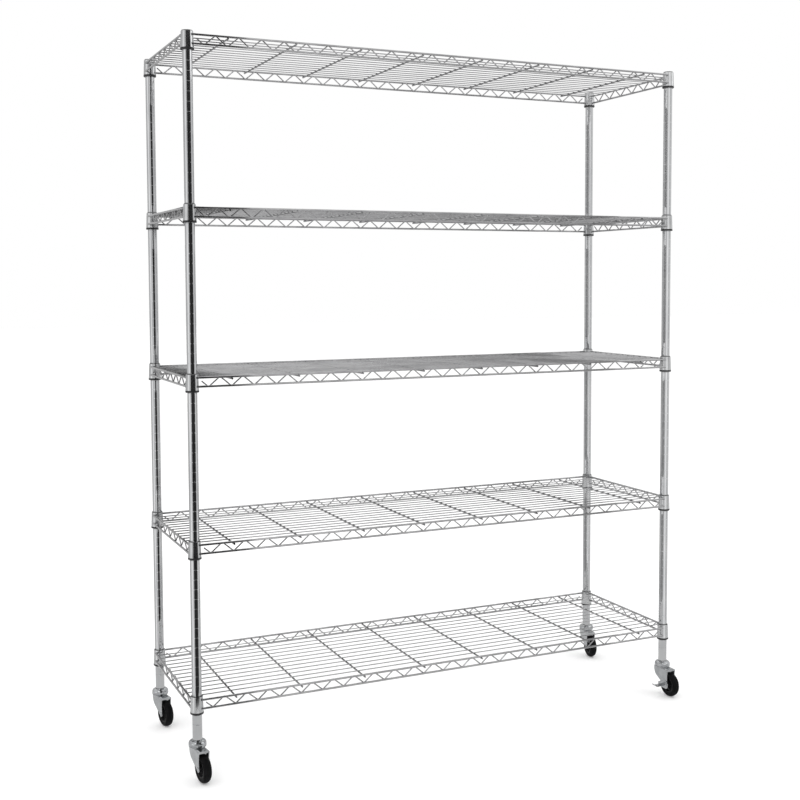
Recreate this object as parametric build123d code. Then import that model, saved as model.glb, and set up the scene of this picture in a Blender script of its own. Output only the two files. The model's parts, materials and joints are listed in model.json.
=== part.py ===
from build123d import *
import os
from math import cos, radians, sin, sqrt

# Five-tier wire shelving rack on casters. Millimetres, +Z up, floor at Z = 0.
# The origin is on the floor, midway between the four posts. -Y is the front, +X the right.

os.makedirs("parts", exist_ok=True)

INCH = 25.4

# ---- layout ----
POST_SPACING_X = 1484.0
POST_SPACING_Y = 425.0
TUBE_BASE = 104.0
TUBE_TOP = 1920.0
LOWEST_SHELF = 171.0
SHELF_STEPS = (0, 16, 33, 50, 67)
SHELF_BASES = [LOWEST_SHELF + INCH * step for step in SHELF_STEPS]

# ---- posts ----
POST_R = 12.7
POST_WALL = 1.2
GROOVE_DEPTH = 0.3
GROOVE_TOP_W = 1.7
GROOVE_FLOOR_W = 0.7
RIB_HEIGHT = 24.0
GROOVES_BELOW = 2

# ---- split sleeves ----
SLEEVE_H = 48.5
SLEEVE_LIP_H = 4.9
SLEEVE_LIP_R = 17.6
SLEEVE_BORE_R = 12.76
SLEEVE_RIB_R = 12.35
SLEEVE_RIB_W = 0.8
SLEEVE_SPLIT = 0.5

# ---- corner collars ----
COLLAR_BASE = 5.0
COLLAR_TOP = 46.5
COLLAR_R_BASE = 17.25
COLLAR_R_TOP = 15.75
COLLAR_WALL = 1.65
TAPER_FIT = 0.08

# ---- shelf wires ----
RAIL_R = 2.8
RAIL_TOP_Z = 38.0
RAIL_LOW_Z = 15.0
RAIL_OFFSET = 13.4
RAIL_END = 9.0
ZIGZAG_R = 1.75
ZIGZAG_BEND = 5.0
ZIGZAG_END_GAP = 22.5
LONG_HALF_WAVE = 30.5
SHORT_HALF_WAVE = 30.8
ROD_R = 2.4
ROD_COUNT = 8
ROD_PITCH = 6 * LONG_HALF_WAVE
ROD_OVERHANG = 1.0
DECK_R = 1.55
DECK_WIRES = 13
DECK_PITCH = 30.8
WELD_GAP = 0.05

# ---- casters ----
WHEEL_R = 37.0
TYRE_W = 22.4
TYRE_CROWN = 8.5
CROWN_POWER = 2.4
CORE_R = 24.0
CORE_W = 18.0
TRAIL = 36.0
FORK_GAP = 25.0
FORK_PLATE = 2.2
CROWN_TOP = 85.0
CROWN_BACK = 21.0
CROWN_FRONT = -43.5
LIP_BASE = 79.0
AXLE_BOSS_R = 8.0
BOWL_R = 22.8
BOWL_H = 2.2
RACE_R = 14.5
BALL_R = 2.75
BALL_Z = 87.45
BALL_COUNT = 12
DOME_R = 23.4
DOME_BASE = 87.7
DOME_TOP = 102.4
STEM_R = 5.0
STEM_TOP = 127.0
AXLE_R = 4.0
RIVET_R = 6.0
RIVET_T = 1.3
LEVER_T = 2.5
LEVER_R = 12.0

# Heading of each caster at rest: turn of the trailing direction from -Y towards +X.
CORNERS = {
    "front_left": (-1, -1, 8.0),
    "front_right": (1, -1, 2.0),
    "back_left": (-1, 1, 11.0),
    "back_right": (1, 1, -11.0),
}
BRAKED = "front_right"


def corner_xy(name):
    sx, sy, _ = CORNERS[name]
    return sx * POST_SPACING_X / 2, sy * POST_SPACING_Y / 2


def save(name, solids):
    """Write one node, which is one solid or a group of separate solids."""
    shapes = []
    for solid in solids:
        shapes += solid.solids()
    whole = shapes[0] if len(shapes) == 1 else Compound(children=shapes)
    export_step(whole, f"parts/{name}.step")


def at_corners(solid):
    """The same solid at the foot of each post."""
    out = []
    for name in CORNERS:
        x, y = corner_xy(name)
        out.append(Pos(x, y, 0) * solid)
    return out


def turned(points):
    """A solid of revolution about Z from (radius, height) points."""
    outline = make_face(Polyline(*[(r, 0, z) for r, z in points], close=True))
    return revolve(outline, axis=Axis.Z)


def rod_between(a, b, radius):
    """A straight round wire from a to b."""
    run = Vector(*b) - Vector(*a)
    seat = Plane(origin=a, z_dir=run)
    return extrude(seat * Circle(radius), run.length)


# ---- posts ----


def post_tube():
    """Thin-walled tube with a rolled groove every inch."""
    lowest = LOWEST_SHELF + RIB_HEIGHT - GROOVES_BELOW * INCH
    count = SHELF_STEPS[-1] + GROOVES_BELOW + 1
    floor_r = POST_R - GROOVE_DEPTH
    points = [(POST_R - POST_WALL, TUBE_BASE), (POST_R, TUBE_BASE)]
    for i in range(count):
        z = lowest + i * INCH
        points.append((POST_R, z - GROOVE_TOP_W / 2))
        points.append((floor_r, z - GROOVE_FLOOR_W / 2))
        points.append((floor_r, z + GROOVE_FLOOR_W / 2))
        points.append((POST_R, z + GROOVE_TOP_W / 2))
    points += [(POST_R, TUBE_TOP), (POST_R - POST_WALL, TUBE_TOP)]
    return turned(points)


def post_cap():
    """Push-in cap: a low domed disc with a hollow skirt inside the tube."""
    skirt_r = POST_R - POST_WALL - WELD_GAP
    seat = TUBE_TOP + WELD_GAP
    points = [
        (0, seat + 2.0),
        (9.5, seat + 1.9),
        (11.8, seat + 1.5),
        (12.6, seat + 0.7),
        (12.6, seat),
        (skirt_r, seat),
        (skirt_r - 0.4, seat - 12.0),
        (skirt_r - 1.8, seat - 12.0),
        (skirt_r - 1.8, seat - 0.5),
        (0, seat - 0.5),
    ]
    return turned(points)


def foot_insert():
    """Threaded plug pressed into the foot of a post; it holds the caster stem."""
    plug_r = POST_R - POST_WALL - WELD_GAP
    bore_r = STEM_R + WELD_GAP
    face = DOME_TOP + WELD_GAP
    seat = TUBE_BASE - WELD_GAP
    points = [
        (bore_r, face),
        (POST_R - 0.3, face),
        (POST_R - 0.3, seat),
        (plug_r, seat),
        (plug_r, seat + 26.0),
        (bore_r, seat + 26.0),
    ]
    return turned(points)


# ---- sleeves and collars ----


def collar_r(z):
    """Outer radius of a corner collar at a height above the sleeve's base."""
    part = (z - COLLAR_BASE) / (COLLAR_TOP - COLLAR_BASE)
    return COLLAR_R_BASE + part * (COLLAR_R_TOP - COLLAR_R_BASE)


def sleeve_r(z):
    return collar_r(z) - COLLAR_WALL - TAPER_FIT


def sleeve_halves():
    """The two tapered half shells that clip round a post under one corner."""
    points = [
        (SLEEVE_BORE_R, 0),
        (SLEEVE_LIP_R - 0.8, 0),
        (SLEEVE_LIP_R, 0.8),
        (SLEEVE_LIP_R, SLEEVE_LIP_H - 0.4),
        (SLEEVE_LIP_R - 0.4, SLEEVE_LIP_H),
        (sleeve_r(SLEEVE_LIP_H), SLEEVE_LIP_H),
        (sleeve_r(SLEEVE_H), SLEEVE_H),
        (SLEEVE_BORE_R, SLEEVE_H),
        (SLEEVE_BORE_R, RIB_HEIGHT + SLEEVE_RIB_W),
        (SLEEVE_RIB_R, RIB_HEIGHT + SLEEVE_RIB_W / 2),
        (SLEEVE_RIB_R, RIB_HEIGHT - SLEEVE_RIB_W / 2),
        (SLEEVE_BORE_R, RIB_HEIGHT - SLEEVE_RIB_W),
    ]
    ring = turned(points)
    cut = Pos(0, 0, SLEEVE_H / 2) * Box(60, SLEEVE_SPLIT, 2 * SLEEVE_H)
    return (ring - cut).solids()


def corner_collar():
    """Tapered steel collar at one corner of a shelf."""
    points = [
        (COLLAR_R_BASE - COLLAR_WALL, COLLAR_BASE),
        (COLLAR_R_BASE - 0.4, COLLAR_BASE),
        (COLLAR_R_BASE, COLLAR_BASE + 0.4),
        (COLLAR_R_TOP, COLLAR_TOP - 0.4),
        (COLLAR_R_TOP - 0.4, COLLAR_TOP),
        (COLLAR_R_TOP - COLLAR_WALL, COLLAR_TOP),
    ]
    return turned(points)


# ---- shelf wires ----


def edge_rail(length, z):
    """Round rail along X with both ends coped to the collars that it is welded to."""
    half = length / 2
    rail = rod_between((-half + RAIL_END, 0, z), (half - RAIL_END, 0, z), RAIL_R)
    for side in (-1, 1):
        seat = Pos(side * half, RAIL_OFFSET, z) * Cylinder(collar_r(z) + 0.12, 20)
        rail -= seat
    return rail


def zigzag(span, half_wave, first_peak):
    """Snake wire in the XZ plane along X, between the two rails of an edge."""
    rise = RAIL_TOP_Z - RAIL_LOW_Z
    slope = rise / half_wave
    lift = ZIGZAG_BEND * (sqrt(1 + slope * slope) - 1)
    high = RAIL_TOP_Z + lift
    low = RAIL_LOW_Z - lift
    end = span / 2 - ZIGZAG_END_GAP
    steps = int((end + first_peak) // half_wave)
    x = first_peak - steps * half_wave
    points = []
    at_peak = steps % 2 == 0
    while x < end:
        points.append((x, 0, high if at_peak else low))
        at_peak = not at_peak
        x += half_wave
    grade = (high - low) / half_wave
    first, last = points[0], points[-1]
    start_z = first[2] + grade * (first[0] + end) * (-1 if first[2] == high else 1)
    stop_z = last[2] + grade * (end - last[0]) * (-1 if last[2] == high else 1)
    points = [(-end, 0, start_z)] + points + [(end, 0, stop_z)]
    path = FilletPolyline(*points, radius=ZIGZAG_BEND)
    seat = Plane(origin=path @ 0, z_dir=path % 0)
    return sweep(seat * Circle(ZIGZAG_R), path=path)


def edge_pieces():
    """Rails and snake wires round one shelf, at the height of a sleeve's base."""
    out_x = POST_SPACING_X / 2 + RAIL_OFFSET
    out_y = POST_SPACING_Y / 2 + RAIL_OFFSET
    inward = RAIL_R + ZIGZAG_R + WELD_GAP
    front = [edge_rail(POST_SPACING_X, z) for z in (RAIL_LOW_Z, RAIL_TOP_Z)]
    right = [edge_rail(POST_SPACING_Y, z) for z in (RAIL_LOW_Z, RAIL_TOP_Z)]
    long_snake = zigzag(POST_SPACING_X, LONG_HALF_WAVE, 0)
    short_snake = zigzag(POST_SPACING_Y, SHORT_HALF_WAVE, SHORT_HALF_WAVE / 2)
    rails, snakes = [], []
    for turn in (0, 180):
        rails += [Rot(0, 0, turn) * Pos(0, -out_y, 0) * rail for rail in front]
        rails += [Rot(0, 0, turn + 90) * Pos(0, -out_x, 0) * rail for rail in right]
        snakes.append(Rot(0, 0, turn) * Pos(0, inward - out_y, 0) * long_snake)
        snakes.append(Rot(0, 0, turn + 90) * Pos(0, inward - out_x, 0) * short_snake)
    return rails, snakes


def cross_rods():
    """Rods from front to back, under the top rails; the deck wires lie on them."""
    z = RAIL_TOP_Z - RAIL_R - ROD_R - WELD_GAP
    end = POST_SPACING_Y / 2 + RAIL_OFFSET + RAIL_R + ROD_OVERHANG
    rod = rod_between((0, -end, z), (0, end, z), ROD_R)
    first = -(ROD_COUNT - 1) / 2
    return [Pos((first + i) * ROD_PITCH, 0, 0) * rod for i in range(ROD_COUNT)]


def deck_wires():
    """Thin wires along the shelf, butted against the top rails of its two ends."""
    z = RAIL_TOP_Z - RAIL_R + DECK_R
    end = POST_SPACING_X / 2 + RAIL_OFFSET - RAIL_R - WELD_GAP
    wire = rod_between((-end, 0, z), (end, 0, z), DECK_R)
    first = -(DECK_WIRES - 1) / 2
    return [Pos(0, (first + i) * DECK_PITCH, 0) * wire for i in range(DECK_WIRES)]


# ---- casters, each drawn at the origin with its wheel trailing to -Y ----


def arch_section():
    """Section of the fork's pressed plate across the wheel."""
    outer = FORK_GAP / 2 + FORK_PLATE
    arch = Pos(0, CROWN_TOP / 2) * Rectangle(2 * outer, CROWN_TOP)
    arch = fillet(arch.vertices().sort_by(Axis.Y)[-2:], 4.5)
    hollow_h = CROWN_TOP - FORK_PLATE
    hollow = Pos(0, hollow_h / 2 - 5) * Rectangle(FORK_GAP, hollow_h + 10)
    hollow = fillet(hollow.vertices().sort_by(Axis.Y)[-2:], 2.3)
    return arch - hollow


def fork_side():
    """Side view of the fork: deep cheeks under the race, swept forward and down to the axle."""
    edge = Polyline(
        (CROWN_FRONT, LIP_BASE),
        (CROWN_FRONT, CROWN_TOP),
        (CROWN_BACK, CROWN_TOP),
        (CROWN_BACK, 79),
    )
    boss_back = (-29.5, WHEEL_R - 4.6)
    boss_front = (-43.9, WHEEL_R - 1.1)
    back = ThreePointArc((CROWN_BACK, 79), (18.4, 65.0), (8, 53.5))
    sweep_line = Line((8, 53.5), boss_back)
    foot = ThreePointArc(boss_back, (-TRAIL + 1.0, WHEEL_R - AXLE_BOSS_R), boss_front)
    front = ThreePointArc(boss_front, (-41.2, 57.0), (CROWN_FRONT, LIP_BASE))
    return make_face([edge, back, sweep_line, foot, front])


def fork():
    """Pressed steel fork with a bowl for the balls on its crown and a lip over the wheel."""
    reach = 60
    arch = extrude(Plane.XZ * arch_section(), reach, both=True)
    side = extrude(Plane.YZ * fork_side(), reach, both=True)
    body = arch & side
    lip_z = (LIP_BASE + CROWN_TOP - 1.0) / 2
    lip = Pos(0, CROWN_FRONT + FORK_PLATE / 2, lip_z)
    body += lip * Box(FORK_GAP + 1.0, FORK_PLATE, CROWN_TOP - 1.0 - LIP_BASE)
    bowl_top = CROWN_TOP + BOWL_H
    bowl = [
        (RACE_R - 4.2, CROWN_TOP - FORK_PLATE),
        (BOWL_R - 4.8, CROWN_TOP - FORK_PLATE),
        (BOWL_R - 1.4, CROWN_TOP - 0.9),
        (BOWL_R, CROWN_TOP + 0.7),
        (BOWL_R, bowl_top - 0.5),
        (BOWL_R - 0.5, bowl_top),
        (RACE_R - 4.2, bowl_top),
    ]
    body += turned(bowl)
    body -= ball_track()
    body -= Pos(0, 0, CROWN_TOP) * Cylinder(STEM_R + 1.4, 20)
    body -= along_x(AXLE_R + WELD_GAP, -reach, reach)
    return body


def ball_track():
    """Round track in which the swivel balls run."""
    return Pos(0, 0, BALL_Z) * Torus(RACE_R, BALL_R + 0.3)


def along_x(radius, x0, x1):
    """Cylinder on the axle's line."""
    return rod_between((x0, -TRAIL, WHEEL_R), (x1, -TRAIL, WHEEL_R), radius)


def race_dome():
    """Fixed rounded cap over the swivel balls."""
    points = [
        (STEM_R + WELD_GAP, DOME_TOP),
        (12.4, DOME_TOP),
        (13.0, DOME_TOP - 1.0),
        (15.4, DOME_TOP - 0.9),
        (18.2, DOME_TOP - 1.6),
        (20.6, DOME_TOP - 3.1),
        (22.3, DOME_TOP - 5.4),
        (23.2, DOME_TOP - 8.4),
        (DOME_R, DOME_BASE + 0.7),
        (DOME_R - 0.7, DOME_BASE),
        (STEM_R + WELD_GAP, DOME_BASE),
    ]
    return turned(points) - ball_track()


def stem():
    """Threaded stem with the riveted king-pin head under the crown."""
    head_top = CROWN_TOP - FORK_PLATE - 0.4
    points = [
        (0, head_top - 3.4),
        (5.5, head_top - 3.2),
        (8.2, head_top - 1.8),
        (8.6, head_top),
        (STEM_R + 1.0, head_top),
        (STEM_R + 1.0, DOME_BASE - 0.2),
        (STEM_R, DOME_BASE - 0.2),
        (STEM_R, STEM_TOP - 1.0),
        (STEM_R - 1.0, STEM_TOP),
        (0, STEM_TOP),
    ]
    return turned(points)


def balls():
    """Swivel balls of one caster."""
    out = []
    for i in range(BALL_COUNT):
        a = radians(360.0 * i / BALL_COUNT)
        out.append(Pos(RACE_R * cos(a), RACE_R * sin(a), BALL_Z) * Sphere(BALL_R))
    return out


def on_axle(points):
    """A solid of revolution about the axle from (radius, x) points."""
    return Pos(0, -TRAIL, WHEEL_R) * Rot(0, 90, 0) * turned(points)


def tyre():
    """Solid rubber tyre with a rounded crown."""
    half = TYRE_W / 2
    seat = CORE_W / 2
    points = [(CORE_R + WELD_GAP, -seat)]
    for i in range(-9, 10):
        share = sin(radians(10.0 * i))
        rise = TYRE_CROWN * sqrt(1 - abs(share) ** CROWN_POWER)
        points.append((WHEEL_R - TYRE_CROWN + rise, half * share))
    points.append((CORE_R + WELD_GAP, seat))
    return on_axle(points)


def wheel_core():
    """Moulded wheel core with hub, web and rim."""
    hub = FORK_GAP / 2 - 0.6
    rim = CORE_W / 2
    bore = AXLE_R + 0.06
    points = [
        (bore, -hub),
        (7.5, -hub),
        (8.5, -4.2),
        (19.5, -3.2),
        (21.0, -rim),
        (CORE_R, -rim),
        (CORE_R, rim),
        (21.0, rim),
        (19.5, 3.2),
        (8.5, 4.2),
        (7.5, hub),
        (bore, hub),
    ]
    return on_axle(points)


def axle_rivet(braked):
    """Riveted axle with flat heads; one end is longer where the brake lever fits."""
    leg = FORK_GAP / 2 + FORK_PLATE + WELD_GAP
    left = leg + (LEVER_T + 0.6 if braked else 0)
    points = [
        (0, -left - RIVET_T),
        (RIVET_R - 1.2, -left - RIVET_T),
        (RIVET_R, -left - 0.4),
        (RIVET_R, -left),
        (AXLE_R, -left),
        (AXLE_R, leg),
        (RIVET_R, leg),
        (RIVET_R, leg + 0.4),
        (RIVET_R - 1.2, leg + RIVET_T),
        (0, leg + RIVET_T),
    ]
    return on_axle(points)


def brake_lever():
    """Pressed side lever: a ring on the axle, an arm and a foot tab bent outwards."""
    inner = -(FORK_GAP / 2 + FORK_PLATE + 0.3)
    outer = inner - LEVER_T
    tip_y, tip_z = 33.0, -5.0
    ring = Circle(LEVER_R)
    arm = make_face(
        Polyline((0, LEVER_R), (tip_y, tip_z + 7), (tip_y, tip_z - 6), (0, -LEVER_R), close=True)
    )
    plate = fillet((ring + arm).vertices().sort_by(Axis.X)[-2:], 3.0)
    seat = Plane(origin=(inner, -TRAIL, WHEEL_R), x_dir=(0, 1, 0), z_dir=(1, 0, 0))
    body = extrude(seat * plate, -LEVER_T)
    tab = [
        (outer + 1.0, tip_z - 4.2),
        (outer + 1.0, tip_z - 1.7),
        (outer - 14.0, tip_z - 1.7),
        (outer - 19.0, tip_z - 0.2),
        (outer - 23.0, tip_z + 3.0),
        (outer - 24.4, tip_z + 1.0),
        (outer - 20.0, tip_z - 2.6),
        (outer - 14.4, tip_z - 4.2),
    ]
    shape = Polyline(*[(x, 0, WHEEL_R + z) for x, z in tab], close=True)
    foot = Pos(0, tip_y - TRAIL, 0) * extrude(make_face(shape), 16.0, dir=(0, -1, 0))
    body += foot
    body -= along_x(AXLE_R + 0.08, -60, 0)
    return body


def placed(name, solids):
    """Caster pieces moved to their corner and turned to that caster's heading."""
    x, y = corner_xy(name)
    where = Pos(x, y, 0) * Rot(0, 0, CORNERS[name][2])
    return [where * solid for solid in solids]


# ---- write every node ----

tube = post_tube()
for corner in CORNERS:
    cx, cy = corner_xy(corner)
    save(f"post_{corner}", [Pos(cx, cy, 0) * tube])
save("post_caps", at_corners(post_cap()))
save("foot_inserts", at_corners(foot_insert()))

halves = sleeve_halves()
collar = corner_collar()
rail_set, snake_set = edge_pieces()
rod_set = cross_rods()
wire_set = deck_wires()

for number, base in enumerate(SHELF_BASES, start=1):
    up = Pos(0, 0, base)
    shells = at_corners(halves[0]) + at_corners(halves[1])
    save(f"sleeves_{number}", [up * s for s in shells])
    save(f"collars_{number}", [up * s for s in at_corners(collar)])
    save(f"edge_rails_{number}", [up * s for s in rail_set])
    save(f"snake_wires_{number}", [up * s for s in snake_set])
    save(f"cross_rods_{number}", [up * s for s in rod_set])
    save(f"deck_wires_{number}", [up * s for s in wire_set])

save("caster_stems", at_corners(stem()))
save("race_domes", at_corners(race_dome()))
save("swivel_balls", [s for ball in balls() for s in at_corners(ball)])
fork_body = fork()
tyre_body = tyre()
core_body = wheel_core()
for corner in CORNERS:
    save(f"fork_{corner}", placed(corner, [fork_body]))
    save(f"tyre_{corner}", placed(corner, [tyre_body]))
    save(f"wheel_core_{corner}", placed(corner, [core_body]))
    save(f"axle_rivet_{corner}", placed(corner, [axle_rivet(corner == BRAKED)]))
save(f"brake_lever_{BRAKED}", placed(BRAKED, [brake_lever()]))
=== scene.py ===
import json
import math
import bmesh
import bpy
from mathutils import Euler, Matrix, Vector


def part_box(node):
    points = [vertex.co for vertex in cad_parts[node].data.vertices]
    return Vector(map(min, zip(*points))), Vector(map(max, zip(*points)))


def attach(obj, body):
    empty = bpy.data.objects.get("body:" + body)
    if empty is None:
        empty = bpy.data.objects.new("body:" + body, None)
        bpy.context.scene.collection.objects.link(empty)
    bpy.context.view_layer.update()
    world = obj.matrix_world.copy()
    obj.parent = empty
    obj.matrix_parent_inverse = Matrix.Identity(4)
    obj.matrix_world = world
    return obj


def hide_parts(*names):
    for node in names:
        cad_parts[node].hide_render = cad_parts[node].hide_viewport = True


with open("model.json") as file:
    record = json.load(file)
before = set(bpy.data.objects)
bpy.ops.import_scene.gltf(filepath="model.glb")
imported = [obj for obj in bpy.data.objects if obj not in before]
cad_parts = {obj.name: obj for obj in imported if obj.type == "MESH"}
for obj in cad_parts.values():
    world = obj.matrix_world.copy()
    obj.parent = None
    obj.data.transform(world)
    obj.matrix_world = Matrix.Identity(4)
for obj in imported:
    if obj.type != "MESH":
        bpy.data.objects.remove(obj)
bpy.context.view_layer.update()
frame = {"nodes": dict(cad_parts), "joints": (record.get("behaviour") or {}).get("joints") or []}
NODES = frame["nodes"]
JOINTS = {j["name"]: j for j in frame["joints"]}
CORNERS = ("front_left", "front_right", "back_left", "back_right")
SHELVES = (1, 2, 3, 4, 5)
MM = 0.001

# ---- camera: metres, degrees, and the lens in mm ----

CAMERA_PLACE = (-1.4903, -3.1298, 1.2930)
CAMERA_YAW = 24.553
CAMERA_DROP = 3.525
CAMERA_ROLL = -0.227
CAMERA_LENS = 52.371
CAMERA_SENSOR = 36.0
CAMERA_SHIFT_Y = -0.0599
CAMERA_FAR = 60.0


def make_camera():
    """A camera before the left end of the rack, at the height between shelves 3 and 4."""
    data = bpy.data.cameras.new("camera")
    data.sensor_width = CAMERA_SENSOR
    data.lens = CAMERA_LENS
    data.shift_y = CAMERA_SHIFT_Y
    data.clip_end = CAMERA_FAR
    camera = bpy.data.objects.new("camera", data)
    camera.location = CAMERA_PLACE
    level = Euler((math.radians(90 - CAMERA_DROP), 0, math.radians(-CAMERA_YAW))).to_matrix()
    roll = Matrix.Rotation(math.radians(CAMERA_ROLL), 3, "Z")
    camera.rotation_euler = (level @ roll).to_euler()
    bpy.context.scene.collection.objects.link(camera)
    bpy.context.scene.camera = camera


# ---- node helpers ----


class Graph:
    """A material's or world's node tree with short calls to fill it."""

    def __init__(self, tree):
        self.tree = tree
        tree.nodes.clear()

    def add(self, kind, **settings):
        """A new node of a kind, with its settings."""
        node = self.tree.nodes.new(kind)
        for name, value in settings.items():
            setattr(node, name, value)
        return node

    def link(self, out, into):
        """A link from one socket to another."""
        self.tree.links.new(out, into)

    def noise(self, vector, scale, detail=4.0, rough=0.5):
        """Soft noise from 0 to 1."""
        node = self.add("ShaderNodeTexNoise")
        node.inputs["Scale"].default_value = scale
        node.inputs["Detail"].default_value = detail
        node.inputs["Roughness"].default_value = rough
        self.link(vector, node.inputs["Vector"])
        return node.outputs["Fac"]

    def stretched(self, vector, scale):
        """The same coordinates, scaled by a different amount along each axis."""
        node = self.add("ShaderNodeMapping")
        node.inputs["Scale"].default_value = scale
        self.link(vector, node.inputs["Vector"])
        return node.outputs["Vector"]

    def spread(self, value, low, high, from_low=0.3, from_high=0.7):
        """A value moved from one range to another, and held inside it."""
        node = self.add("ShaderNodeMapRange")
        node.inputs["From Min"].default_value = from_low
        node.inputs["From Max"].default_value = from_high
        node.inputs["To Min"].default_value = low
        node.inputs["To Max"].default_value = high
        self.link(value, node.inputs["Value"])
        return node.outputs["Result"]

    def between(self, value, first, second):
        """A colour between two colours."""
        node = self.add("ShaderNodeMix", data_type="RGBA")
        node.inputs["A"].default_value = (*first, 1)
        node.inputs["B"].default_value = (*second, 1)
        self.link(value, node.inputs["Factor"])
        return node.outputs["Result"]

    def bump(self, height, strength, distance, under=None):
        """A surface direction tilted by a height, on top of another one if there is one."""
        node = self.add("ShaderNodeBump")
        node.inputs["Strength"].default_value = strength
        node.inputs["Distance"].default_value = distance
        self.link(height, node.inputs["Height"])
        if under is not None:
            self.link(under, node.inputs["Normal"])
        return node.outputs["Normal"]


def principled(name):
    """A new material: its graph, its shader and its object coordinates."""
    material = bpy.data.materials.new(name)
    material.use_nodes = True
    graph = Graph(material.node_tree)
    shader = graph.add("ShaderNodeBsdfPrincipled")
    out = graph.add("ShaderNodeOutputMaterial")
    graph.link(shader.outputs["BSDF"], out.inputs["Surface"])
    place = graph.add("ShaderNodeTexCoord").outputs["Object"]
    return material, graph, shader, place


# ---- materials ----

SPECK_SCALE = 900.0
SPECK_DEPTH = 0.04 * MM
GRAIN_DEPTH = 0.1 * MM
DUST_SCALE = 90.0
DUST_DEPTH = 0.2 * MM
SCUFF_SCALE = 260.0
SCUFF_STRETCH = (1, 1, 5)
SKIN_DEPTH = 0.08 * MM


def plated(name, dark, light, rough, grain, stretch, bump, blotch):
    """Metal plating: smudges in the gloss, faint tone changes and fine lines in the surface."""
    material, graph, shader, place = principled(name)
    shader.inputs["Metallic"].default_value = 1.0
    smudge = graph.noise(place, blotch, 6.0, 0.6)
    lines = graph.noise(graph.stretched(place, stretch), grain, 3.0, 0.6)
    specks = graph.noise(place, SPECK_SCALE, 2.0)
    tone = graph.between(graph.spread(smudge, 0, 1), dark, light)
    graph.link(tone, shader.inputs["Base Color"])
    mix = graph.add("ShaderNodeMath", operation="MULTIPLY_ADD")
    graph.link(graph.spread(lines, 0, rough[1] - rough[0]), mix.inputs[0])
    graph.link(graph.spread(smudge, 0.3, 1.0), mix.inputs[1])
    mix.inputs[2].default_value = rough[0]
    graph.link(mix.outputs[0], shader.inputs["Roughness"])
    fine = graph.bump(specks, bump * 0.5, SPECK_DEPTH)
    graph.link(graph.bump(lines, bump, GRAIN_DEPTH, fine), shader.inputs["Normal"])
    return material


def moulded(name, dark, light, rough, pebble, bump, specular):
    """Plastic or rubber: a fine pebbled skin with scuffs and dust in the low spots."""
    material, graph, shader, place = principled(name)
    shader.inputs["Specular IOR Level"].default_value = specular
    dust = graph.noise(place, DUST_SCALE, 5.0, 0.65)
    skin = graph.noise(place, pebble, 3.0, 0.5)
    scuff = graph.noise(graph.stretched(place, SCUFF_STRETCH), SCUFF_SCALE, 4.0, 0.7)
    tone = graph.between(graph.spread(dust, 0, 1, 0.35, 0.75), dark, light)
    graph.link(tone, shader.inputs["Base Color"])
    graph.link(graph.spread(scuff, *rough), shader.inputs["Roughness"])
    under = graph.bump(dust, bump * 0.5, DUST_DEPTH)
    graph.link(graph.bump(skin, bump, SKIN_DEPTH, under), shader.inputs["Normal"])
    return material


EVEN = (1, 1, 1)
DRAWN = (1, 1, 0.03)

# Name, dark and light tone, range of roughness, scale and stretch of the lines, bump, smudge scale.
PLATED = (
    ("chrome_tube", (0.46, 0.465, 0.475), (0.56, 0.565, 0.57), (0.05, 0.11), 300.0, DRAWN, 0.03, 7.0),
    ("chrome_collar", (0.42, 0.425, 0.43), (0.54, 0.545, 0.55), (0.10, 0.22), 240.0, EVEN, 0.08, 30.0),
    ("chrome_wire", (0.30, 0.30, 0.305), (0.44, 0.44, 0.445), (0.08, 0.22), 180.0, EVEN, 0.08, 14.0),
    # Cross rods: the wire chrome made darker, as painted shade under the deck.
    ("chrome_rod", (0.17, 0.17, 0.175), (0.28, 0.28, 0.285), (0.08, 0.20), 180.0, EVEN, 0.08, 14.0),
    # Deck wires: the wire chrome made lighter, as painted light on the decks.
    ("chrome_deck", (0.33, 0.33, 0.335), (0.45, 0.45, 0.455), (0.08, 0.22), 180.0, EVEN, 0.08, 14.0),
    ("zinc_steel", (0.34, 0.35, 0.36), (0.48, 0.49, 0.50), (0.12, 0.28), 120.0, EVEN, 0.12, 60.0),
    ("ball_steel", (0.5, 0.5, 0.51), (0.6, 0.6, 0.61), (0.08, 0.16), 200.0, EVEN, 0.05, 60.0),
)

# Name, dark and light tone, range of roughness, scale of the pebbles, bump, specular level.
MOULDED = (
    ("black_plastic", (0.008, 0.008, 0.009), (0.02, 0.02, 0.021), (0.32, 0.5), 1500.0, 0.15, 0.4),
    ("black_rubber", (0.002, 0.002, 0.0025), (0.006, 0.006, 0.0065), (0.5, 0.75), 1100.0, 0.3, 0.08),
    ("grey_core", (0.004, 0.004, 0.0045), (0.011, 0.011, 0.012), (0.35, 0.55), 1300.0, 0.15, 0.2),
)

# The start of a node's name gives its material. The first start that fits is taken.
NODE_MATERIALS = {
    "post_caps": "black_plastic",
    "post_": "chrome_tube",
    "foot_inserts": "black_plastic",
    "sleeves_": "black_plastic",
    "collars_": "chrome_collar",
    "edge_rails_": "chrome_wire",
    "snake_wires_": "chrome_wire",
    "cross_rods_": "chrome_rod",
    "deck_wires_": "chrome_deck",
    "caster_stems": "zinc_steel",
    "race_domes": "zinc_steel",
    "swivel_balls": "ball_steel",
    "fork_": "zinc_steel",
    "tyre_": "black_rubber",
    "wheel_core_": "grey_core",
    "axle_": "zinc_steel",
    "brake_lever_": "zinc_steel",
}


def make_materials():
    """All materials by name."""
    made = {}
    for name, *look in PLATED:
        made[name] = plated(name, *look)
    for name, *look in MOULDED:
        made[name] = moulded(name, *look)
    return made


MATERIALS = make_materials()


def paint_nodes():
    """Give every CAD node its material."""
    for name, node in NODES.items():
        start = next(s for s in NODE_MATERIALS if name.startswith(s))
        node.data.materials.clear()
        node.data.materials.append(MATERIALS[NODE_MATERIALS[start]])


# ---- detail pieces ----

SHARP_ANGLE = 38
GAP = 0.1 * MM


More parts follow.
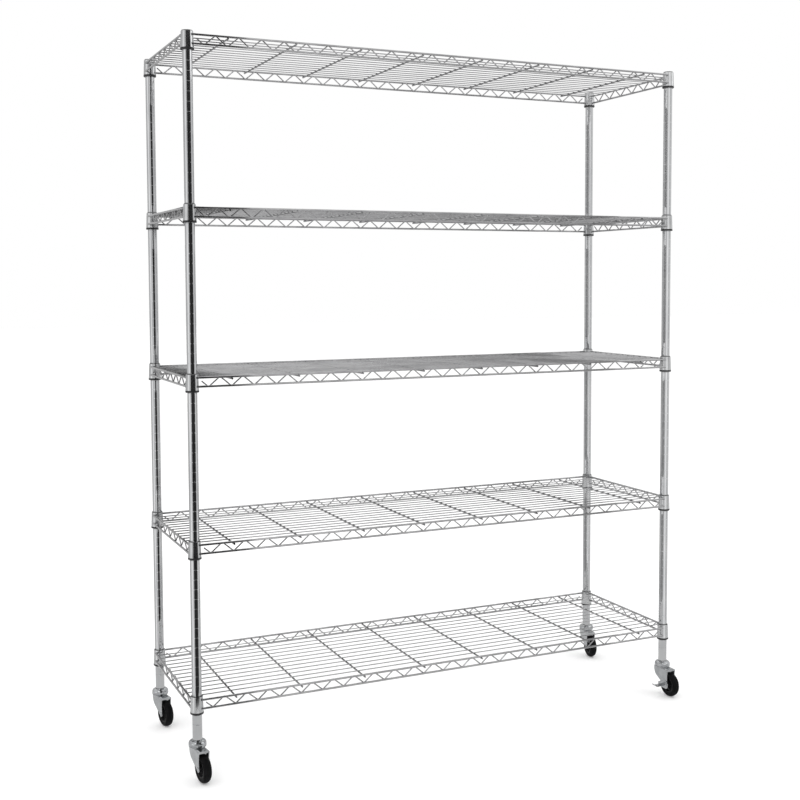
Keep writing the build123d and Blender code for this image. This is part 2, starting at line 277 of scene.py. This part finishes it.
def add_piece(name, form, body, slot):
    """Turn a bmesh into a smooth-shaded piece that rides on a body."""
    bmesh.ops.recalc_face_normals(form, faces=form.faces)
    mesh = bpy.data.meshes.new(name)
    form.to_mesh(mesh)
    form.free()
    mesh.materials.append(MATERIALS[slot])
    mesh.shade_smooth()
    mesh.set_sharp_from_angle(angle=math.radians(SHARP_ANGLE))
    piece = bpy.data.objects.new(name, mesh)
    bpy.context.scene.collection.objects.link(piece)
    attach(piece, body)
    return piece


def spun(loop, centre, axis, segments, shape=None):
    """A ring made by turning a closed loop of (radius, offset) points about an axis.

    shape(point index, angle) may give another (radius, offset) for a point of the loop.
    """
    up = Vector((0, 0, 1))
    side = axis.cross(up).normalized()
    form = bmesh.new()
    rings = []
    for i in range(segments):
        angle = 2 * math.pi * i / segments
        out = side * math.cos(angle) + up * math.sin(angle)
        ring = []
        for k, point in enumerate(loop):
            radius, offset = shape(k, angle) if shape else point
            ring.append(form.verts.new(centre + out * radius + axis * offset))
        rings.append(ring)
    for i, ring in enumerate(rings):
        after = rings[(i + 1) % segments]
        for k in range(len(loop)):
            m = (k + 1) % len(loop)
            form.faces.new((ring[k], ring[m], after[m], after[k]))
    return form


def axle_facts(corner, node):
    """Centre and direction of a wheel's axle, with the node's outer radius and half width."""
    joint = JOINTS[f"wheel_{corner}_roll"]
    centre, axis = Vector(joint["pos_m"]), Vector(joint["axis"]).normalized()
    half, radius = 0.0, 0.0
    for vertex in NODES[node].data.vertices:
        arm = vertex.co - centre
        along = arm.dot(axis)
        half = max(half, abs(along))
        radius = max(radius, (arm - axis * along).length)
    return centre, axis, radius, half


CROWN_DEPTH = 8.5 * MM
CROWN_POWER = 2.4
CROWN_STEPS = 36
GROOVE_STEPS = (6, 7, CROWN_STEPS - 7, CROWN_STEPS - 6)
SEAM = 0.12 * MM
SIDE_GROOVE = 0.45 * MM
SEAT_INSET = 2.0 * MM
TYRE_SEGMENTS = 160


def make_tyre(corner):
    """Solid tyre: rounded crown with its mould seam, and a moulded groove down each side."""
    node = f"tyre_{corner}"
    centre, axis, radius, half = axle_facts(corner, node)
    loop = []
    for i in range(CROWN_STEPS + 1):
        share = math.sin(math.pi * (i / CROWN_STEPS - 0.5))
        rise = CROWN_DEPTH * math.sqrt(max(0.0, 1 - abs(share) ** CROWN_POWER))
        r = radius - SEAM - CROWN_DEPTH + rise
        if i == CROWN_STEPS // 2:
            r += SEAM
        if i in GROOVE_STEPS:
            r -= SIDE_GROOVE
        loop.append((r, half * share))
    seat = axle_facts(corner, f"wheel_core_{corner}")[2] + GAP
    loop += [(seat, half - SEAT_INSET), (seat, SEAT_INSET - half)]
    form = spun(loop, centre, axis, TYRE_SEGMENTS)
    piece = add_piece(f"tyre_detail_{corner}", form, f"wheel_{corner}", "black_rubber")
    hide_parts(node)


CORE_BORE = 4.06 * MM
CORE_HUB = 7.5 * MM
CORE_WEB_START = 13.0 * MM
CORE_WEB = 3.2 * MM
CORE_RIM_DEPTH = 3.0 * MM
CORE_RIM_HALF = 9.0 * MM
CORE_ROUND = 0.5 * MM
CORE_SEGMENTS = 180
RIBS = 6
RIB_HALF_ANGLE = 0.085
RIB_EDGE_ANGLE = 0.03
RIB_RISE = 3.6 * MM
RIBBED_POINTS = {4, 5, 6}


def make_core(corner):
    """Moulded wheel core: rim, thin web stiffened by ribs, and the hub."""
    node = f"wheel_core_{corner}"
    centre, axis, radius, half = axle_facts(corner, node)
    rim = radius - CORE_RIM_DEPTH
    side = [
        (CORE_BORE, half),
        (CORE_HUB - CORE_ROUND, half),
        (CORE_HUB, half - CORE_ROUND),
        (CORE_HUB + 0.6 * MM, CORE_WEB + 3.0 * MM),
        (CORE_HUB + 1.6 * MM, CORE_WEB),
        (CORE_WEB_START, CORE_WEB),
        (rim - 1.6 * MM, CORE_WEB),
        (rim - CORE_ROUND, CORE_WEB + 1.5 * MM),
        (rim, CORE_RIM_HALF - CORE_ROUND),
        (rim + CORE_ROUND, CORE_RIM_HALF),
        (radius, CORE_RIM_HALF),
    ]
    loop = side + [(r, -a) for r, a in reversed(side)]

    def shape(index, angle):
        """The web's points stand out at the ribs."""
        r, a = loop[index]
        mirror = index if index < len(side) else len(loop) - 1 - index
        if mirror in RIBBED_POINTS:
            step = 2 * math.pi / RIBS
            off = abs((angle + step / 2) % step - step / 2)
            lift = max(0.0, min(1.0, (RIB_HALF_ANGLE - off) / RIB_EDGE_ANGLE))
            a += math.copysign(RIB_RISE * lift, a)
        return r, a

    form = spun(loop, centre, axis, CORE_SEGMENTS, shape)
    piece = add_piece(f"wheel_core_detail_{corner}", form, f"wheel_{corner}", "grey_core")
    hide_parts(node)


def add_bead(form, place, size):
    """A small smooth lump of weld metal, with half its size along each axis."""
    made = bmesh.ops.create_icosphere(form, subdivisions=2, radius=1.0)
    for vertex in made["verts"]:
        vertex.co = Vector(place) + Vector(vertex.co[i] * size[i] for i in range(3))


RUN_GAP = 8 * MM


def clustered(values):
    """Middle of each run of values that lie closer together than the gap."""
    runs = []
    for value in sorted(values):
        if runs and value - runs[-1][-1] < RUN_GAP:
            runs[-1].append(value)
        else:
            runs.append([value])
    return [(run[0] + run[-1]) / 2 for run in runs]


CREST_DEPTH = 0.35 * MM
EDGE_DEPTH = 4 * MM


def wire_crests(low, high, at_top):
    """Where the first shelf's snake wires touch their rails: along X, and along Y."""
    level = high.z if at_top else low.z
    long_side, short_side = [], []
    for vertex in NODES["snake_wires_1"].data.vertices:
        x, y, z = vertex.co
        if abs(z - level) > CREST_DEPTH:
            continue
        if abs(abs(y) - high.y) < EDGE_DEPTH:
            long_side.append(x)
        elif abs(abs(x) - high.x) < EDGE_DEPTH:
            short_side.append(y)
    return clustered(long_side), clustered(short_side)


RAIL_R = 2.8 * MM
ROD_TOP = 35.2 * MM
COLLAR_R = 17.25 * MM
COLLAR_REACH = 12.2 * MM
WIRE_END_INSET = 0.2 * MM
WIRE_END_RISE = 1.3 * MM

# Half sizes of the weld beads.
CREST_ALONG, CREST_ACROSS, CREST_UP = 3.0 * MM, 1.0 * MM, 1.5 * MM
COLLAR_ALONG, COLLAR_ACROSS, COLLAR_UP = 2.2 * MM, 3.0 * MM, 3.2 * MM
ROD_BEAD = (1.9 * MM, 2.6 * MM, 0.8 * MM)
WIRE_BEAD = (1.7 * MM, 1.3 * MM, 0.6 * MM)
WIRE_END_BEAD = (1.1 * MM, 1.7 * MM, 1.4 * MM)
SIDES = (-1, 1)


def add_crest_welds(form, crests, levels, edge_x, edge_y):
    """Beads where the snake wires touch their rails."""
    seam = RAIL_R + GAP
    for level, (long_side, short_side) in zip(levels, crests):
        for side in SIDES:
            for x in long_side:
                place = (x, side * (edge_y - seam), level)
                add_bead(form, place, (CREST_ALONG, CREST_ACROSS, CREST_UP))
            for y in short_side:
                place = (side * (edge_x - seam), y, level)
                add_bead(form, place, (CREST_ACROSS, CREST_ALONG, CREST_UP))


def add_deck_welds(form, deck, edge_x, edge_y):
    """Beads where the cross rods meet the rails, and the deck wires meet the rods and rails."""
    rods = clustered([v.co.x for v in NODES["cross_rods_1"].data.vertices])
    wires = clustered([v.co.y for v in NODES["deck_wires_1"].data.vertices])
    for x in rods:
        for side in SIDES:
            add_bead(form, (x, side * edge_y, deck), ROD_BEAD)
        for y in wires:
            add_bead(form, (x, y, deck), WIRE_BEAD)
    for y in wires:
        for side in SIDES:
            place = (side * (edge_x - RAIL_R - WIRE_END_INSET), y, deck + WIRE_END_RISE)
            add_bead(form, place, WIRE_END_BEAD)


def add_collar_welds(form, corner, levels, edge_x, edge_y):
    """Beads where the ends of the rails meet the collars."""
    centre_x = corner.x - COLLAR_R
    centre_y = corner.y - COLLAR_R
    for level in levels:
        for sx in SIDES:
            for sy in SIDES:
                along_x = (sx * (centre_x - COLLAR_REACH), sy * edge_y, level)
                along_y = (sx * edge_x, sy * (centre_y - COLLAR_REACH), level)
                add_bead(form, along_x, (COLLAR_ALONG, COLLAR_ACROSS, COLLAR_UP))
                add_bead(form, along_y, (COLLAR_ACROSS, COLLAR_ALONG, COLLAR_UP))


def make_welds(shelf, crests):
    """Weld metal where the wires of one shelf meet each other and the collars."""
    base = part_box(f"sleeves_{shelf}")[0].z
    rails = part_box(f"edge_rails_{shelf}")
    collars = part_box(f"collars_{shelf}")
    edge_x, edge_y = rails[1].x - RAIL_R, rails[1].y - RAIL_R
    levels = (rails[1].z - RAIL_R, rails[0].z + RAIL_R)
    form = bmesh.new()
    add_crest_welds(form, crests, levels, edge_x, edge_y)
    add_deck_welds(form, base + ROD_TOP, edge_x, edge_y)
    add_collar_welds(form, collars[1], levels, edge_x, edge_y)
    add_piece(f"welds_{shelf}", form, f"shelf_{shelf}", "chrome_wire")


MERGE_WITHIN = 0.01 * MM
PRESSED_ANGLE = 35
FORK_ROUND = 0.6 * MM
LEVER_ROUND = 0.5 * MM


def soften_edges(node, width):
    """Round the pressed edges of a steel node without touching its mesh."""
    weld = node.modifiers.new("weld", "WELD")
    weld.merge_threshold = MERGE_WITHIN
    bevel = node.modifiers.new("edges", "BEVEL")
    bevel.width = width
    bevel.segments = 2
    bevel.limit_method = "ANGLE"
    bevel.angle_limit = math.radians(PRESSED_ANGLE)


def make_details():
    """Welds, tyres and wheel cores, and the rounded edges of the pressed steel."""
    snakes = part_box("snake_wires_1")
    crests = [wire_crests(*snakes, at_top) for at_top in (True, False)]
    for shelf in SHELVES:
        make_welds(shelf, crests)
    for corner in CORNERS:
        make_tyre(corner)
        make_core(corner)
        soften_edges(NODES[f"fork_{corner}"], FORK_ROUND)
    soften_edges(NODES["brake_lever_front_right"], LEVER_ROUND)


# ---- studio ----

WHITE = (1, 1, 1, 1)
FLOOR_SIZE = 60.0
FLOOR_TONES = (0.955, 0.97)
FLOOR_GLOW = 0.12
NEAR_FLOOR = (1.35, 0.85)
NEAR_TONES = (0.72, 0.78)
FLOOR_SPREAD = 3.0


def only_mirrored(sheet):
    """Leave a sheet out of everything but reflections."""
    sheet.visible_camera = False
    sheet.visible_diffuse = False
    sheet.visible_shadow = False
    sheet.visible_transmission = False


def make_floor(name, half_x, half_y, tones, glow):
    """A level sheet under the rack."""
    mesh = bpy.data.meshes.new(name)
    form = bmesh.new()
    bmesh.ops.create_grid(form, x_segments=8, y_segments=8, size=1.0)
    bmesh.ops.scale(form, vec=(half_x, half_y, 1.0), verts=form.verts)
    form.to_mesh(mesh)
    form.free()
    floor = bpy.data.objects.new(name, mesh)
    bpy.context.scene.collection.objects.link(floor)
    material, graph, shader, place = principled(name)
    shader.inputs["Roughness"].default_value = 0.9
    shader.inputs["Specular IOR Level"].default_value = 0.1
    shader.inputs["Emission Color"].default_value = WHITE
    shader.inputs["Emission Strength"].default_value = glow
    tone = graph.spread(graph.noise(place, FLOOR_SPREAD), 0, 1)
    dark, light = tones
    graph.link(graph.between(tone, (dark,) * 3, (light,) * 3), shader.inputs["Base Color"])
    mesh.materials.append(material)
    return floor


def make_floors():
    """The wide pale floor, and the part of it near the rack that its chrome reflects."""
    wide = make_floor("floor", FLOOR_SIZE / 2, FLOOR_SIZE / 2, FLOOR_TONES, FLOOR_GLOW)
    wide.visible_glossy = False
    near = make_floor("floor_mirrored", *NEAR_FLOOR, NEAR_TONES, 0.0)
    only_mirrored(near)


# Brightness of the studio as the chrome mirrors it, by turn in degrees. The front is 180, the left 270.
SURROUND = (
    (0, 0.72),
    (30, 0.60),
    (62, 0.75),
    (90, 0.95),
    (118, 1.05),
    (138, 0.65),
    (149, 0.80),
    (160, 1.15),
    (188, 1.45),
    (204, 1.00),
    (218, 0.85),
    (234, 0.75),
    (241, 0.85),
    (247, 1.30),
    (258, 1.45),
    (270, 1.35),
    (284, 0.85),
    (301, 0.80),
    (323, 0.68),
    (360, 0.72),
)

# Upward part of a direction where the white ceiling begins, and where it is full.
CEILING_FROM = 0.28
CEILING_FULL = 0.6


def make_world():
    """White all round for the camera and for soft light, and the studio's tones for the chrome."""
    world = bpy.data.worlds.new("studio")
    bpy.context.scene.world = world
    world.use_nodes = True
    graph = Graph(world.node_tree)
    split = graph.add("ShaderNodeSeparateXYZ")
    graph.link(graph.add("ShaderNodeTexCoord").outputs["Generated"], split.inputs[0])
    turn = graph.add("ShaderNodeMath", operation="ARCTAN2")
    for index, axis in enumerate("XY"):
        flip = graph.add("ShaderNodeMath", operation="MULTIPLY")
        flip.inputs[1].default_value = -1.0
        graph.link(split.outputs[axis], flip.inputs[0])
        graph.link(flip.outputs[0], turn.inputs[index])
    ramp = graph.add("ShaderNodeValToRGB")
    stops = ramp.color_ramp.elements
    while len(stops) > 1:
        stops.remove(stops[-1])
    for index, (angle, level) in enumerate(SURROUND):
        stop = stops[0] if index == 0 else stops.new(angle / 360)
        stop.position = angle / 360
        stop.color = (level, level, level, 1)
    graph.link(graph.spread(turn.outputs[0], 0, 1, -math.pi, math.pi), ramp.inputs[0])
    ceiling = graph.add("ShaderNodeMix", data_type="RGBA")
    ceiling.inputs["B"].default_value = WHITE
    graph.link(ramp.outputs["Color"], ceiling.inputs["A"])
    upward = graph.spread(split.outputs["Z"], 0, 1, CEILING_FROM, CEILING_FULL)
    graph.link(upward, ceiling.inputs["Factor"])
    backdrop = graph.add("ShaderNodeMix", data_type="RGBA")
    backdrop.inputs["A"].default_value = WHITE
    graph.link(ceiling.outputs["Result"], backdrop.inputs["B"])
    mirrored = graph.add("ShaderNodeLightPath").outputs["Is Glossy Ray"]
    graph.link(mirrored, backdrop.inputs["Factor"])
    light = graph.add("ShaderNodeBackground")
    out = graph.add("ShaderNodeOutputWorld")
    graph.link(backdrop.outputs["Result"], light.inputs["Color"])
    graph.link(light.outputs[0], out.inputs["Surface"])


# Name, place, aim, size and power of each soft light.
LIGHTS = (
    ("key", (-2.4, -2.6, 4.2), (0, 0, 0.8), (2.6, 2.6), 30),
    ("fill", (3.2, -1.6, 3.6), (0, 0, 0.9), (2.4, 2.4), 16),
    ("back", (0.4, 3.4, 3.8), (0, 0, 0.9), (2.6, 2.6), 16),
)


def area_light(name, place, aim, size, power):
    """A soft rectangular light."""
    data = bpy.data.lights.new(name, "AREA")
    data.shape = "RECTANGLE"
    data.size, data.size_y = size
    data.energy = power
    light = bpy.data.objects.new(name, data)
    light.location = place
    light.rotation_euler = (Vector(aim) - Vector(place)).to_track_quat("-Z", "Y").to_euler()
    bpy.context.scene.collection.objects.link(light)


CARD_STEPS = 8
CARD_BEND = 0.13
BLACK_CARD_TURN = -7
BLACK_CARD_TONE = 0.04
FRONT_CARD_PLACE = (-0.713, -0.4525)
FRONT_CARD_HALF = 0.19
FRONT_CARD_LOW = 0.13
FRONT_CARD_TOP = 2.3
BACK_CARD_PLACE = (-0.73, 0.0125)
BACK_CARD_HALF = 0.088
BACK_CARD_HEADROOM = 0.05
SIDE_CARD_TURN = 90
SIDE_CARD_TONE = 0.40
SIDE_CARD_GAP = 0.15
SIDE_CARD_SHIFT = -0.06
SIDE_CARD_HALF = 0.125
SIDE_CARD_HEADROOM = 0.04
CARD_FOOTROOM = 0.08


def make_card(name, place, turn, half, low, top, tone):
    """An upright, slightly curved studio card that only the chrome mirrors."""
    mesh = bpy.data.meshes.new(name)
    form = bmesh.new()
    rows = []
    for i in range(CARD_STEPS + 1):
        x = -half + i * half / (CARD_STEPS / 2)
        y = CARD_BEND * half * (x / half) ** 2
        rows.append([form.verts.new((x, y, z)) for z in (low, top)])
    for a, b in zip(rows, rows[1:]):
        form.faces.new((a[0], b[0], b[1], a[1]))
    form.to_mesh(mesh)
    form.free()
    card = bpy.data.objects.new(name, mesh)
    card.location = (*place, 0)
    card.rotation_euler = (0, 0, math.radians(turn))
    bpy.context.scene.collection.objects.link(card)
    material, _, shader, _ = principled(name)
    shader.inputs["Roughness"].default_value = 1.0
    shader.inputs["Specular IOR Level"].default_value = 0.0
    shader.inputs["Base Color"].default_value = (tone, tone, tone, 1)
    mesh.materials.append(material)
    only_mirrored(card)


def make_cards():
    """Black cards before the left posts, and grey ones beside the right posts in each bay."""
    make_card(
        "card_black",
        FRONT_CARD_PLACE,
        BLACK_CARD_TURN,
        FRONT_CARD_HALF,
        FRONT_CARD_LOW,
        FRONT_CARD_TOP,
        BLACK_CARD_TONE,
    )
    levels = [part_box(f"sleeves_{shelf}")[0].z for shelf in SHELVES]
    bays = list(enumerate(zip(levels, levels[1:]), start=1))
    for bay, (under, over) in bays:
        make_card(
            f"card_black_{bay}",
            BACK_CARD_PLACE,
            BLACK_CARD_TURN,
            BACK_CARD_HALF,
            under + CARD_FOOTROOM,
            over - BACK_CARD_HEADROOM,
            BLACK_CARD_TONE,
        )
    for side in ("front", "back"):
        low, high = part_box(f"post_{side}_right")
        place = ((low.x + high.x) / 2 - SIDE_CARD_GAP, (low.y + high.y) / 2 + SIDE_CARD_SHIFT)
        for bay, (under, over) in bays:
            make_card(
                f"card_{side}_{bay}",
                place,
                SIDE_CARD_TURN,
                SIDE_CARD_HALF,
                under + CARD_FOOTROOM,
                over - SIDE_CARD_HEADROOM,
                SIDE_CARD_TONE,
            )


def make_studio():
    """Floor, surroundings, cards and lights."""
    make_floors()
    make_world()
    make_cards()
    for light in LIGHTS:
        area_light(*light)
    bpy.context.scene.view_settings.view_transform = "Standard"


make_camera()
paint_nodes()
make_details()
make_studio()
